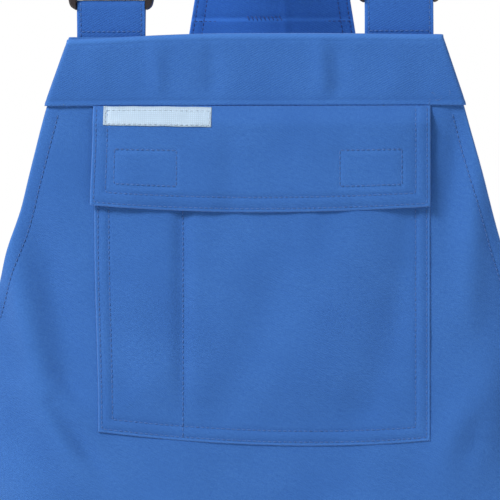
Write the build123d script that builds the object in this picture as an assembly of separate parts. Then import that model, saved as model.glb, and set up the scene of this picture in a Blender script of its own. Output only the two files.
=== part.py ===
"""Bib apron for welding: a flame-resistant cotton front panel held by two shoulder straps,
a back yoke and a waist belt, with a flapped chest pocket and side-release buckles.

Units are millimetres. +Z is up, +X is the viewer's right and the bib faces -Y. The origin is
midway between the shoulders, at the height where the straps bear on them. The shape is the
worn one: the bib hangs in front, the yoke behind, and the skirt wraps round the hips.
"""

import math
import os

from build123d import *

# Cloth
cloth = 1.0  # front panel, one layer
light_cloth = 0.8  # pocket and flap layers
webbing = 1.6  # belt and back straps
strap_width = 40.0

# Front panel
front_y = -100.0  # outer face of the flat bib
bib_top_z = -170.0
band_height = 41.0
bib_half_top = 112.0  # half width along the bib's top edge
bib_half_seam = 125.5  # half width at the band's lower seam
side_x = 207.0  # half width round the hips, to the outer face
corner_radius = 95.0  # how the panel turns from the front to the sides
side_end_y = 34.0  # where the wrapped panel ends
armhole_depth = 240.0  # bib top down to the waist corner
panel_length = 900.0
hem_width = 10.0
bottom_hem_height = 20.0

seam_z = bib_top_z - band_height
waist_z = bib_top_z - armhole_depth
hem_z = bib_top_z - panel_length

# Chest pocket, which sits a little to the wearer's left
pocket_left_x = -96.5
pocket_right_x = 105.3
pocket_top_z = seam_z - 14.0
pocket_left_low_z = seam_z - 196.5
pocket_right_low_z = seam_z - 201.0
pocket_belly_z = seam_z - 204.0  # the bottom edge bows down between its corners
pocket_gap = 4.4  # free depth inside
pocket_seam = 1.2  # width of the sewn-down edge
pen_seam_x = -43.0
pocket_hem_height = 11.0
pocket_face_y = front_y - pocket_gap - light_cloth

# Flap and its hook and loop tape
flap_left_x = -97.2
flap_right_x = 105.6
flap_axis_y = front_y - 2.2
flap_axis_z = seam_z - 1.2
flap_bend_z = seam_z - 12.0
flap_end_z = seam_z - 64.5
tape = 0.7
tape_height = 25.0
tape_top_z = seam_z - 26.0
tape_spans = {"left": (-85.0, -45.0), "right": (50.0, 90.0)}
tape_clearance = 0.3
label_left_x = -90.6
label_width = 65.0
label_height = 12.0
label_thickness = 0.4
label_top = 3.0  # from the flap's seam down to the label

# Side-release buckle for 40 mm webbing, in its own frame: width X, thickness Y, length Z
buckle_width = 53.0
buckle_foot = 48.4  # it narrows towards the webbing
foot_taper = 11.0
foot_corner = 5.0
shoulder = 2.5
socket_length = 36.0
socket_thickness = 11.0
mouth_radius = 30.0  # the socket's mouth is scooped on both faces
mouth_scoop = 4.0
grip_radius = 14.0  # and its sides are scooped where fingers press the barbs
grip_scoop = 2.2
groove = 1.2  # width and twice the depth of the grip grooves
groove_length = 17.0
groove_pitch = 3.4
cavity_half = 22.0
cavity_depth = 7.0
cavity_floor = 12.0
window_low, window_high = 16.0, 28.0
slot_length = 42.0
bar = 4.5  # height of the end bar that the webbing goes round
bar_radius = 2.2
slot_height = 4.0
plug_gap = 0.6
plug_width = 50.0
plug_thickness = 6.0
plug_top = 62.0
collar_thickness = 9.6
collar_height = 6.6
prong_room = 0.3  # in front of and behind a prong's root
prong_x = 16.5
prong_pivot = 40.0
knuckle = 2.0
knuckle_clearance = 0.08
prong_thickness = 5.0
bar_wrap = 2.5  # inner radius of webbing round a bar

# Where the buckles are; the left strap is let out 4 mm more than the right one
strap_x = 86.6
tab_tail = 6.0  # from the band's lower seam up to the tab's end
tab_webbing = 1.2  # one layer of a strap that is doubled round a bar
tab_y = front_y + 2 * cloth + tab_webbing
buckle_z = {"left": -153.5, "right": -149.5}

# Back harness
back_y = 101.0  # middle plane of the straps between the yoke's two layers
yoke_top_z = -95.0
yoke_bottom_z = -300.0
yoke_half_top = 44.7
yoke_half_bottom = 77.5
yoke_layer = 1.0
strap_thickness = 1.8
strap_end_x = 23.5
strap_tuck = 20.0  # length of strap between the yoke's layers
strap_turn_length = 16.0
back_strap_top_x = 56.5  # middle of each back strap at the yoke
belt_loop_x = 88.0  # and where it ends, on the belt
belt_y = 104.3
belt_corner_radius = 68.0
belt_overlap = 28.0  # belt sewn over the panel's corner
belt_turn_length = 7.0
belt_loop_wall = 1.2
belt_loop_room = 2.0  # above and below the belt
belt_play = 0.4  # in front of and behind the belt

# Hanging loop
loop_x = -5.0
loop_foot_z = -146.0
loop_rise = 32.0
loop_half = 9.0
loop_tape = 1.5
loop_depth = 6.0


def plate(points, depth, y):
    """A flat outline drawn in X and Z, depth thick, with its front face at y."""
    outline = Plane.XZ * make_face(Polyline(*points, close=True))
    return Pos(0, y, 0) * extrude(outline, -depth)


def block(low, high):
    """A box between two corners."""
    size = [b - a for a, b in zip(low, high)]
    middle = [(a + b) / 2 for a, b in zip(low, high)]
    return Pos(*middle) * Box(*size)


def wrap_region(offset, back_y_limit, back_radius=None):
    """Plan of everything inside the worn shape, moved outwards by offset."""
    half, front = side_x + offset, front_y - offset
    length = back_y_limit - front
    shape = Pos(0, front + length / 2) * Rectangle(2 * half, length)
    shape = fillet(shape.vertices().group_by(Axis.Y)[0], corner_radius + offset)
    if back_radius:
        shape = fillet(shape.vertices().group_by(Axis.Y)[-1], back_radius)
    return shape


def wrap_shell(outer, inner, z_low, z_high, end_y=side_end_y):
    """Cloth on the worn shape between two offsets and two heights."""
    far = 300.0
    ring = wrap_region(outer, far) - wrap_region(inner, far)
    ring -= Pos(0, end_y + far) * Rectangle(4 * side_x, 2 * far)
    return Pos(0, 0, z_low) * extrude(ring, z_high - z_low)


def beyond_armhole(inset=0.0, side=1):
    """The space above and outside one armhole edge, which inset moves into the cloth."""
    top = (bib_half_top - inset, bib_top_z)
    seam = (bib_half_seam - inset, seam_z)
    low = (side_x, waist_z - inset)
    slope = (seam[0] - top[0], seam[1] - top[1])
    far_x, far_z = side_x + 60, bib_top_z + 40
    edge = Line(top, seam) + Spline(seam, low, tangents=(slope, (1, -0.2)), tangent_scalars=(0.9, 0.55))
    rest = Polyline(low, (far_x, low[1]), (far_x, far_z), (top[0], far_z), top)
    cutter = extrude(Plane.XZ * make_face(edge + rest), 200, both=True)
    return cutter if side > 0 else mirror(cutter, Plane.YZ)


def trim_armholes(shape, inset=0.0):
    return shape - beyond_armhole(inset, 1) - beyond_armhole(inset, -1)


def bent_sheet(path, offset, thickness, x_low, x_high):
    """Cloth along a path of (y, z) points, set out from it by offset, between two X."""
    points = [Vector(y, z) for y, z in path]
    runs = [(b - a).normalized() for a, b in zip(points, points[1:])]
    normals = [Vector(run.Y, -run.X) for run in runs]

    def moved(distance):
        line = []
        for at, before, after in zip(points, normals[:1] + normals, normals + normals[-1:]):
            moved_to = at + (before + after) * (distance / (1 + before.dot(after)))
            line.append((moved_to.X, moved_to.Y))
        return line

    outline = moved(offset) + moved(offset + thickness)[::-1]
    section = Plane.YZ * make_face(Polyline(*outline, close=True))
    return Pos(x_low, 0, 0) * extrude(section, x_high - x_low)


def rectangle_at(point, along, outward, width, thickness):
    """A ribbon's cross-section at one point of its path."""
    frame = Plane(origin=point, x_dir=along.cross(outward), z_dir=along)
    return frame * Rectangle(width, thickness)


def webbing_loop(length, width, thickness, one_layer=None):
    """Webbing turned round a bar at the origin and closed at z = length, width along X."""
    tail = one_layer or 2 * thickness
    outer = Circle(bar_wrap + thickness) + Pos(0, length) * Rectangle(tail, 1)
    inner = Circle(bar_wrap) + Pos(0, length - 4) * Rectangle(0.2, 1)
    section = make_hull(outer.edges()) - make_hull(inner.edges())
    return Pos(-width / 2, 0, 0) * extrude(Plane.YZ * section, width)


# Front panel and what is sewn to it


def front_panel():
    return trim_armholes(wrap_shell(0, -cloth, hem_z, bib_top_z))


def band_outline():
    corners = [
        (-bib_half_top, bib_top_z),
        (bib_half_top, bib_top_z),
        (bib_half_seam, seam_z),
        (-bib_half_seam, seam_z),
    ]
    return extrude(Plane.XZ * make_face(Polyline(*corners, close=True)), 200, both=True)


def top_band():
    return wrap_shell(cloth, 0, seam_z, bib_top_z) & band_outline()


def band_facing():
    return wrap_shell(-cloth, -2 * cloth, seam_z, bib_top_z) & band_outline()


def armhole_hem(side):
    """The armhole's edge, turned to the inside and sewn down."""
    strip = wrap_shell(-cloth, -2 * cloth, waist_z - hem_width, seam_z)
    strip &= beyond_armhole(hem_width, side)
    return strip - beyond_armhole(0, side)


def side_hem(side):
    x = side_x - 2 * cloth if side > 0 else -side_x + cloth
    low = (x, side_end_y - hem_width, hem_z)
    return block(low, (x + cloth, side_end_y, waist_z - hem_width))


def bottom_hem():
    return wrap_shell(-cloth, -2 * cloth, hem_z, hem_z + bottom_hem_height, side_end_y - hem_width)


def pocket_outline(inset):
    left, right = pocket_left_x + inset, pocket_right_x - inset
    left_low, right_low = (left, pocket_left_low_z + inset), (right, pocket_right_low_z + inset)
    belly = ((left + right) / 2, pocket_belly_z + inset)
    sides = Polyline(left_low, (left, pocket_top_z), (right, pocket_top_z), right_low)
    return make_face(sides + ThreePointArc(right_low, belly, left_low))


def pocket_bag():
    """A patch sewn down on three sides and along the pen seam, open at the top."""
    shell = Pos(0, front_y, 0) * extrude(Plane.XZ * pocket_outline(0), pocket_gap + light_cloth)
    room = Pos(0, front_y, 0) * extrude(Plane.XZ * pocket_outline(pocket_seam), pocket_gap)
    room += block(
        (pocket_left_x + pocket_seam, front_y - pocket_gap, pocket_top_z - 5),
        (pocket_right_x - pocket_seam, front_y, pocket_top_z + 5),
    )
    seam = block(
        (pen_seam_x - pocket_seam / 2, front_y - pocket_gap, pocket_belly_z),
        (pen_seam_x + pocket_seam / 2, front_y, pocket_top_z),
    )
    return shell - (room - seam)


def pocket_hem():
    low = (pocket_left_x, pocket_face_y - light_cloth, pocket_top_z - pocket_hem_height)
    return block(low, (pocket_right_x, pocket_face_y, pocket_top_z))


def tape_block(side, front):
    low_x, high_x = tape_spans[side]
    return block((low_x, front, tape_top_z - tape_height), (high_x, front + tape, tape_top_z))


def flap_path():
    """The flap's inner face, from its seam down over the pocket."""
    face = pocket_face_y - 2 * tape - tape_clearance
    start = (flap_axis_y + light_cloth, flap_axis_z)
    return [start, (face, flap_bend_z), (face, flap_end_z)]


def flap_layer(number):
    offset = number * light_cloth
    return bent_sheet(flap_path(), offset, light_cloth, flap_left_x, flap_right_x)


def name_label():
    """A woven label, left blank, sewn over the bend at the flap's top."""
    (y0, z0), (y1, z1), _ = flap_path()
    slope = math.hypot(y1 - y0, z1 - z0)
    start = label_top / slope
    top = (y0 + (y1 - y0) * start, z0 + (z1 - z0) * start)
    low = (y1, z1 - (label_top + label_height - slope))
    path = [top, (y1, z1), low]
    return bent_sheet(path, 2 * light_cloth, label_thickness, label_left_x, label_left_x + label_width)


# Buckles


def rounded_slab(width, low, high, thickness, corner):
    face = Pos(0, (low + high) / 2) * RectangleRounded(width, high - low, corner)
    return extrude(Plane.XZ * face, thickness / 2, both=True)


def end_bar(length, middle):
    """A round bar across an end, which webbing is turned round."""
    return Pos(0, 0, middle) * Rot(0, 90, 0) * Cylinder(bar_radius, length)


def through_slot(length, low, high):
    face = Pos(0, (low + high) / 2) * RectangleRounded(length, high - low, (high - low) / 2 - 0.2)
    return extrude(Plane.XZ * face, 20, both=True)


def round_cut(x, z, radius):
    """A round hole straight through a buckle's thickness."""
    return Pos(x, 0, z) * Rot(90, 0, 0) * Cylinder(radius, 40)


def socket_shell():
    half, foot = buckle_width / 2, buckle_foot / 2
    edge = [(foot, 0), (half, foot_taper), (half, socket_length - shoulder), (half - shoulder, socket_length)]
    face = make_face(Polyline(*edge, *[(-x, z) for x, z in reversed(edge)], close=True))
    face = fillet(face.vertices().group_by(Axis.Y)[0], foot_corner)
    body = extrude(Plane.XZ * face, socket_thickness / 2, both=True)
    return chamfer(body.faces().filter_by(Axis.Y).edges(), 1.2)


def buckle_socket():
    body = socket_shell()
    half_depth = cavity_depth / 2
    body -= block((-cavity_half, -half_depth, cavity_floor), (cavity_half, half_depth, socket_length + 1))
    body -= block((-buckle_width, -half_depth, window_low), (buckle_width, half_depth, window_high))
    body -= block((-slot_length / 2, -20, -1), (slot_length / 2, 20, bar + slot_height))
    body -= round_cut(0, socket_length - mouth_scoop + mouth_radius, mouth_radius)
    window_middle = (window_low + window_high) / 2
    for side in (-1, 1):
        body -= round_cut(side * (buckle_width / 2 - grip_scoop + grip_radius), window_middle, grip_radius)
        for step in (-1, 0, 1):
            place = Pos(0, side * socket_thickness / 2, window_middle + step * groove_pitch)
            body -= place * Box(groove_length, groove, groove)
    return body + end_bar(slot_length + 2, bar / 2)


def buckle_plug():
    low = socket_length + plug_gap
    body = rounded_slab(plug_width, low, plug_top, plug_thickness, 3.0)
    body = chamfer(body.faces().filter_by(Axis.Y).edges(), 0.8)
    collar = rounded_slab(plug_width, low, low + collar_height, collar_thickness, 1.5)
    body += chamfer(collar.faces().filter_by(Axis.Y).edges(), 1.0)
    body += block((-6, -2.4, cavity_floor + 2), (6, 2.4, low + 2))
    top_slot = plug_top - bar - slot_height
    body -= block((-slot_length / 2, -20, top_slot), (slot_length / 2, 20, plug_top + 1))
    body += end_bar(slot_length + 2, plug_bar_middle())
    body -= through_slot(slot_length - 4, top_slot - 7.5, top_slot - 3.5)
    room = prong_thickness + 2 * prong_room
    for side in (-1, 1):
        pivot = Pos(side * prong_x, 0, prong_pivot)
        body -= pivot * Rot(90, 0, 0) * Cylinder(knuckle + knuckle_clearance, room)
        near, far = sorted((side * (prong_x - 3.4), side * (prong_x + 2.2)))
        body -= block((near, -room / 2, low - 1), (far, room / 2, prong_pivot))
    return body


def buckle_prong(side):
    """A springy arm with the barb that fills the socket's window; its root is a round knuckle."""
    root = Pos(side * prong_x, 0, prong_pivot) * Rot(90, 0, 0) * Cylinder(knuckle, prong_thickness)
    tip = window_low + 0.8
    barb_top = window_high - 0.6
    outer = buckle_width / 2 - 0.5
    shape = [
        (prong_x - 1.2, prong_pivot),
        (prong_x + 1.2, prong_pivot),
        (prong_x + 2.6, barb_top + 3.5),
        (cavity_half - 1.0, barb_top),
        (outer, barb_top),
        (outer, tip + 4),
        (outer - 3, tip),
        (prong_x, tip),
        (prong_x - 1.2, tip + 6),
    ]
    face = make_face(Polyline(*[(side * x, z) for x, z in shape], close=True))
    face = fillet([corner for corner in face.vertices() if abs(corner.X) > cavity_half], 1.0)
    prong = root + extrude(Plane.XZ * face, prong_thickness / 2, both=True)
    for step in range(3):
        prong -= round_cut(side * (outer + 0.15), tip + 5.0 + 2 * step, 0.6)
    return prong


def plug_bar_middle():
    return plug_top - bar / 2


# Straps


def strap_tab(side_name, side):
    """The short loop of cloth that holds a socket, sewn behind the bib's top band."""
    bar_z = buckle_z[side_name] + bar / 2
    merge_z = bib_top_z + 1.5
    loop = webbing_loop(bar_z - merge_z, strap_width, tab_webbing)
    loop = Pos(side * strap_x, tab_y, bar_z) * Rot(180, 0, 0) * loop
    x = side * strap_x
    low = (x - strap_width / 2, tab_y - tab_webbing, seam_z + tab_tail)
    tail = block(low, (x + strap_width / 2, tab_y + tab_webbing, merge_z + 0.5))
    return loop + tail


def strap_point(angle, start_z, side):
    """A point on a shoulder strap's middle and the way it faces, from 0 in front to 180 behind."""
    in_front = angle < 90
    reach = tab_y if in_front else -back_y
    foot_z = start_z if in_front else yoke_top_z
    crown_z = strap_thickness / 2
    sine, cosine = math.sin(math.radians(angle)), math.cos(math.radians(angle))
    share = min(1, max(0, (angle - 72) / 90))
    inwards = share * share * (3 - 2 * share)
    x = side * (strap_x + (strap_end_x - strap_x) * inwards)
    point = Vector(x, reach * cosine, foot_z + (crown_z - foot_z) * sine)
    outward = Vector(0, cosine / reach, sine / (crown_z - foot_z))
    return point, outward.normalized()


def shoulder_strap(side_name, side):
    """From the plug up over the shoulder and down to the yoke, drawing in towards the spine."""
    bar_z = buckle_z[side_name] + plug_bar_middle()
    stations = [strap_point(7.5 * i, bar_z + strap_turn_length, side) for i in range(25)]
    tuck = stations[-1][0] - Vector(0, 0, strap_tuck)
    stations.append((tuck, stations[-1][1]))
    middles = [point for point, _ in stations]
    sections = []
    for i, (point, outward) in enumerate(stations):
        along = (middles[min(i + 1, len(middles) - 1)] - middles[max(i - 1, 0)]).normalized()
        if point.Z < yoke_top_z + 0.1 or i == 0:
            along = Vector(0, 0, -1 if i else 1)
            outward = Vector(0, 1 if i else -1, 0)
        sections.append(rectangle_at(point, along, outward, strap_width, strap_thickness))
    loop = webbing_loop(strap_turn_length + 0.5, strap_width, tab_webbing, strap_thickness)
    return loft(sections, ruled=True) + Pos(side * strap_x, tab_y, bar_z) * loop


def yoke_outline():
    return [
        (-yoke_half_top, yoke_top_z),
        (yoke_half_top, yoke_top_z),
        (yoke_half_bottom, yoke_bottom_z),
        (-yoke_half_bottom, yoke_bottom_z),
    ]


def yoke_layer_at(y):
    return plate(yoke_outline(), yoke_layer, y)


def back_strap(side):
    """From between the yoke's layers, slanting out to the belt."""
    half = strap_width / 2
    low_z, high_z = waist_z - strap_width, yoke_bottom_z + strap_tuck
    outline = [
        (side * (belt_loop_x - half), low_z),
        (side * (belt_loop_x + half), low_z),
        (side * (belt_loop_x + half), waist_z),
        (side * (back_strap_top_x + half), yoke_bottom_z),
        (side * (back_strap_top_x + half), high_z),
        (side * (back_strap_top_x - half), high_z),
        (side * (back_strap_top_x - half), yoke_bottom_z),
        (side * (belt_loop_x - half), waist_z),
    ]
    return plate(outline, strap_thickness, back_y - strap_thickness / 2)


def belt_loop(side):
    """A sleeve on the end of a back strap, which the belt runs through."""
    half = strap_width / 2
    inner_y = webbing / 2 + belt_play
    outer_y = belt_y - back_y - strap_thickness / 2
    middle_z = waist_z - half
    sleeve = Box(strap_width, 2 * outer_y, strap_width + 2 * (belt_loop_room + belt_loop_wall))
    sleeve -= Box(strap_width + 1, 2 * inner_y, strap_width + 2 * belt_loop_room)
    return Pos(side * belt_loop_x, belt_y, middle_z) * sleeve


def belt_half(side):
    """From the panel's corner round the back to its buckle half."""
    outer_y = belt_y + webbing / 2
    ring = wrap_region(webbing, outer_y, belt_corner_radius + webbing)
    ring -= wrap_region(0, outer_y - webbing, belt_corner_radius)
    bar_x = plug_top / 2 - bar / 2
    ring -= Rectangle(2 * (bar_x + belt_turn_length - 0.5), 600)
    keep = Pos(side * side_x, side_end_y - belt_overlap + 300) * Rectangle(2 * side_x, 600)
    band = Pos(0, 0, waist_z - strap_width) * extrude(ring & keep, strap_width)
    return band + Pos(side * bar_x, belt_y, waist_z - strap_width / 2) * belt_turn(side)


def belt_turn(side):
    """The belt's end turned round a buckle's bar, width along Z."""
    outer = Circle(bar_wrap + tab_webbing) + Pos(side * belt_turn_length, 0) * Rectangle(1, webbing)
    inner = Circle(bar_wrap) + Pos(side * (belt_turn_length - 2), 0) * Rectangle(1, 0.2)
    section = make_hull(outer.edges()) - make_hull(inner.edges())
    return Pos(0, 0, -strap_width / 2) * extrude(section, strap_width)


def hanging_loop():
    """A narrow tape arch on the yoke's outer face."""
    y = back_y + strap_thickness / 2 + 0.1 + yoke_layer
    spring_z = loop_foot_z + loop_rise - loop_half
    outer = Pos(loop_x, spring_z) * Circle(loop_half + loop_tape)
    outer += Pos(loop_x, (spring_z + loop_foot_z) / 2) * Rectangle(
        2 * (loop_half + loop_tape), spring_z - loop_foot_z
    )
    inner = Pos(loop_x, spring_z) * Circle(loop_half)
    inner += Pos(loop_x, (spring_z + loop_foot_z) / 2 - 1) * Rectangle(
        2 * loop_half, spring_z - loop_foot_z + 2
    )
    return Pos(0, y + loop_depth, 0) * extrude(Plane.XZ * (outer - inner), loop_depth)


def front_place(side_name, side):
    return Pos(side * strap_x, tab_y, buckle_z[side_name])


def belt_place():
    """The belt's buckle lies along X with its socket towards -X."""
    middle_z = waist_z - strap_width / 2
    return Pos(-plug_top / 2, belt_y, middle_z) * Rot(0, 90, 0)


def all_nodes():
    lining_y = back_y - strap_thickness / 2 - 0.1 - yoke_layer
    outer_y = back_y + strap_thickness / 2 + 0.1
    nodes = {
        "front_panel": front_panel(),
        "top_band": top_band(),
        "band_facing": band_facing(),
        "bottom_hem": bottom_hem(),
        "pocket_bag": pocket_bag(),
        "pocket_hem": pocket_hem(),
        "pocket_flap": flap_layer(1),
        "flap_lining": flap_layer(0),
        "name_label": name_label(),
        "back_yoke": yoke_layer_at(outer_y),
        "yoke_lining": yoke_layer_at(lining_y),
        "hanging_loop": hanging_loop(),
    }
    for side_name, side in (("left", -1), ("right", 1)):
        nodes["armhole_hem_" + side_name] = armhole_hem(side)
        nodes["side_hem_" + side_name] = side_hem(side)
        nodes["loop_tape_" + side_name] = tape_block(side_name, pocket_face_y - tape)
        nodes["hook_tape_" + side_name] = tape_block(side_name, pocket_face_y - 2 * tape - tape_clearance)
        nodes["strap_tab_" + side_name] = strap_tab(side_name, side)
        nodes["shoulder_strap_" + side_name] = shoulder_strap(side_name, side)
        nodes["back_strap_" + side_name] = back_strap(side)
        nodes["belt_loop_" + side_name] = belt_loop(side)
        nodes["belt_" + side_name] = belt_half(side)
    prong_words = {"left": ("outer", "inner"), "right": ("inner", "outer"), "belt": ("upper", "lower")}
    places = {name: front_place(name, side) for name, side in (("left", -1), ("right", 1))}
    places["belt"] = belt_place()
    for name, place in places.items():
        nodes["buckle_socket_" + name] = place * buckle_socket()
        nodes["buckle_plug_" + name] = place * buckle_plug()
        for side, word in zip((-1, 1), prong_words[name]):
            nodes[f"buckle_prong_{word}_{name}"] = place * buckle_prong(side)
    return nodes


os.makedirs("parts", exist_ok=True)
for node_name, shape in all_nodes().items():
    export_step(shape, f"parts/{node_name}.step")
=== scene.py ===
import math

import bpy
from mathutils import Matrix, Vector, noise


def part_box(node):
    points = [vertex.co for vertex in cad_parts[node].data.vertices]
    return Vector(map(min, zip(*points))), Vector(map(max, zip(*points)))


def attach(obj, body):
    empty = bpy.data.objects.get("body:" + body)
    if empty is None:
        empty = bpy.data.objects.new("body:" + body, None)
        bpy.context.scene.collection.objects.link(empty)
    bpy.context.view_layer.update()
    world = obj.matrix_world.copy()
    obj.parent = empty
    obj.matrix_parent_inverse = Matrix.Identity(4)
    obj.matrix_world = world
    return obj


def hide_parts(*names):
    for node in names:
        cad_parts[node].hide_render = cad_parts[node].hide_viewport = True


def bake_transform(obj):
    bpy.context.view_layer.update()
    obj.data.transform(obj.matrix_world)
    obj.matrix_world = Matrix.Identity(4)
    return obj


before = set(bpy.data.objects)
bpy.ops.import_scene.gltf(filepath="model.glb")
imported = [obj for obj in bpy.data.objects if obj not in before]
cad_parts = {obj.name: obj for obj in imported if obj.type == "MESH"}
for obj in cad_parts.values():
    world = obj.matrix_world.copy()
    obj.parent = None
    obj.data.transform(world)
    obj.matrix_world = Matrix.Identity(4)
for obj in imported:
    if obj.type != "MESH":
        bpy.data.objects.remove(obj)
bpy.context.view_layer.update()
mm = 0.001  # shapes below are worked out in millimetres and written to meshes in metres

# places that the frame gives


def boxOf(node):
    low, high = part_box(node)
    return low / mm, high / mm


panelLow, panelHigh = boxOf("front_panel")
pocketLow, pocketHigh = boxOf("pocket_bag")
flapLow, flapHigh = boxOf("pocket_flap")
tapeLow, tapeHigh = boxOf("hook_tape_left")
yokeLow, yokeHigh = boxOf("back_yoke")
topZ, hemZ = panelHigh.z, panelLow.z
seamZ = boxOf("top_band")[0].z
frontY = panelLow.y

# small sums


def clamp(x, low=0.0, high=1.0):
    return max(low, min(high, x))


def smooth(x, a, b):
    t = clamp((x - a) / (b - a))
    return t * t * (3 - 2 * t)


def mix(a, b, t):
    return a + (b - a) * t


def dip(distance, width):
    return math.exp(-((distance / width) ** 2))


def rounded(distance, radius):
    # how far an edge curls back, from nothing at radius away to the whole radius at the edge
    if distance >= radius:
        return 0.0
    return radius * (1 - math.sqrt(max(0.0, 1 - (1 - distance / radius) ** 2)))


def nearestOn(start, end, x, y):
    # distance from a point to a straight line between two others, and how far along it that is
    run, fall = end[0] - start[0], end[1] - start[1]
    t = clamp(((x - start[0]) * run + (y - start[1]) * fall) / (run * run + fall * fall))
    return math.hypot(x - start[0] - run * t, y - start[1] - fall * t), t


def lengthsAlong(spots):
    lengths = [0.0]
    for a, b in zip(spots, spots[1:]):
        lengths.append(lengths[-1] + (b - a).length)
    return lengths


def spanAt(lengths, distance):
    # which two marks a distance lies between, and its share of the way from one to the other
    low, high = 0, len(lengths) - 1
    while high - low > 1:
        middle = (low + high) // 2
        if lengths[middle] <= distance:
            low = middle
        else:
            high = middle
    return low, high, (distance - lengths[low]) / max(1e-9, lengths[high] - lengths[low])


def wander(x, y, size, seed=0.0):
    # smooth unevenness between -1 and 1 that repeats over about size millimetres
    return noise.noise(Vector((x / size, y / size, seed)))


def steps(start, end, step, rows=(), reach=3.0, fine=0.8):
    # grid lines from start to end, closer together beside each row of sewing
    marks = [start]
    while marks[-1] < end - 1e-6:
        near = any(abs(marks[-1] + 0.5 * fine - row) < reach for row in rows)
        marks.append(marks[-1] + (fine if near else step))
    if len(marks) > 2 and end - marks[-2] < 0.4 * fine:
        marks.pop()
    marks[-1] = end
    return marks


# materials

tones = {
    "panel": "#2a5aa2",
    "panelLight": "#3c6caf",
    "straps": "#2554a0",
    "strapsLight": "#3365af",
    "yoke": "#2256ac",
    "yokeLight": "#3268b9",
    "thread": "#3f6cb1",
    "darkThread": "#183f86",
    "label": "#aec4d8",
    "labelThread": "#bccddd",
    "acetal": "#1d1517",
    "tape": "#27519a",
    "floor": "#f1f1f0",
}


def colour(name):
    code = tones[name].lstrip("#")
    parts = [int(code[i : i + 2], 16) / 255 for i in (0, 2, 4)]
    return [p / 12.92 if p <= 0.04045 else ((p + 0.055) / 1.055) ** 2.4 for p in parts] + [1.0]


def shaded(tone, factor):
    return [min(1.0, c * factor) for c in colour(tone)[:3]] + [1.0]


def addNode(tree, kind, settings=None, links=None):
    # a key is a socket's name, its number where names repeat, or a property of the node;
    # in a mix node for colours 0 is the factor and 6 and 7 are the two colours
    node = tree.nodes.new(kind)
    for key, value in (settings or {}).items():
        if isinstance(key, int) or key in node.inputs:
            node.inputs[key].default_value = value
        else:
            setattr(node, key, value)
    for key, source in (links or {}).items():
        tree.links.new(source, node.inputs[key])
    return node


def newMaterial(name, settings):
    material = bpy.data.materials.new(name)
    material.use_nodes = True
    tree = material.node_tree
    shader = tree.nodes["Principled BSDF"]
    for key, value in settings.items():
        shader.inputs[key].default_value = value
    return material, tree, shader


twill = {
    "ridge": 1.3 * mm,  # from one diagonal rib to the next
    "yarn": 1.0 * mm,
    "fade": 48 * mm,  # size of the washed patches
    "lean": math.radians(62),
    "rubAndHighlight": 1.3,  # how much lighter a rubbed edge is, with its painted highlight
}
satinPick, stain = 1.25 * mm, 7 * mm


def cottonTwill(name, tone, light):
    # brushed cotton twill: a matt body colour, diagonal ribs, a faint bloom at glancing angles
    # and edges painted lighter, part rubbed wear and part painted highlight; the ribs are 1.3 mm instead of
    # about 0.7 mm so that they show
    finish = {"Sheen Weight": 0.12, "Sheen Roughness": 0.45, "Specular IOR Level": 0.2}
    material, tree, shader = newMaterial(name, finish)
    uv = addNode(tree, "ShaderNodeUVMap", {"uv_map": "cloth"}).outputs["UV"]
    turned = addNode(tree, "ShaderNodeMapping", {"Rotation": (0, 0, twill["lean"])}, {"Vector": uv})
    rib = {"Scale": math.pi / 10 / twill["ridge"], "Distortion": 0.6, "Detail": 1.0}
    ribs = addNode(tree, "ShaderNodeTexWave", rib, {"Vector": turned.outputs["Vector"]}).outputs["Fac"]
    yarn = {"Scale": 1 / twill["yarn"], "Detail": 2.0, "Roughness": 0.7}
    yarns = []
    for run in ((1.0, 0.4, 1.0), (0.4, 1.0, 1.0)):  # warp and weft differ along their own length
        stretched = addNode(tree, "ShaderNodeMapping", {"Scale": run}, {"Vector": uv}).outputs["Vector"]
        yarns.append(addNode(tree, "ShaderNodeTexNoise", yarn, {"Vector": stretched}).outputs["Fac"])
    crossed = addNode(tree, "ShaderNodeMath", {"operation": "ADD"}, {0: yarns[0], 1: yarns[1]})
    links = {"Value": crossed.outputs["Value"]}
    slub = addNode(tree, "ShaderNodeMapRange", {"From Min": 0.6, "From Max": 1.4}, links).outputs["Result"]
    weave = {"data_type": "RGBA", 6: colour(tone), 7: colour(light)}
    body = addNode(tree, "ShaderNodeMix", weave, {0: slub}).outputs[2]
    fade = addNode(tree, "ShaderNodeTexNoise", {"Scale": 1 / twill["fade"], "Detail": 3.0}, {"Vector": uv})
    patch = {"From Min": 0.35, "From Max": 0.68, "To Max": 0.4}
    washed = addNode(tree, "ShaderNodeMapRange", patch, {"Value": fade.outputs["Fac"]}).outputs["Result"]
    # painted highlight: this mask lightens edges, folds and raised cloth, partly for rubbed wear and partly
    # as painted light
    rubAndHighlight = addNode(tree, "ShaderNodeAttribute", {"attribute_name": "rubAndHighlight"}).outputs["Fac"]
    for factor, tint in ((washed, shaded(tone, 0.9)), (rubAndHighlight, shaded(light, twill["rubAndHighlight"]))):
        body = addNode(tree, "ShaderNodeMix", {"data_type": "RGBA", 7: tint}, {0: factor, 6: body}).outputs[2]
    tree.links.new(body, shader.inputs["Base Color"])
    rough = addNode(tree, "ShaderNodeMapRange", {"To Min": 0.78, "To Max": 0.95}, {"Value": slub})
    tree.links.new(rough.outputs["Result"], shader.inputs["Roughness"])
    grain = addNode(tree, "ShaderNodeBump", {"Strength": 0.6, "Distance": 0.14 * mm}, {"Height": ribs})
    links = {"Height": slub, "Normal": grain.outputs["Normal"]}
    fuzz = addNode(tree, "ShaderNodeBump", {"Strength": 0.5, "Distance": 0.12 * mm}, links)
    tree.links.new(fuzz.outputs["Normal"], shader.inputs["Normal"])
    return material


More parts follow.
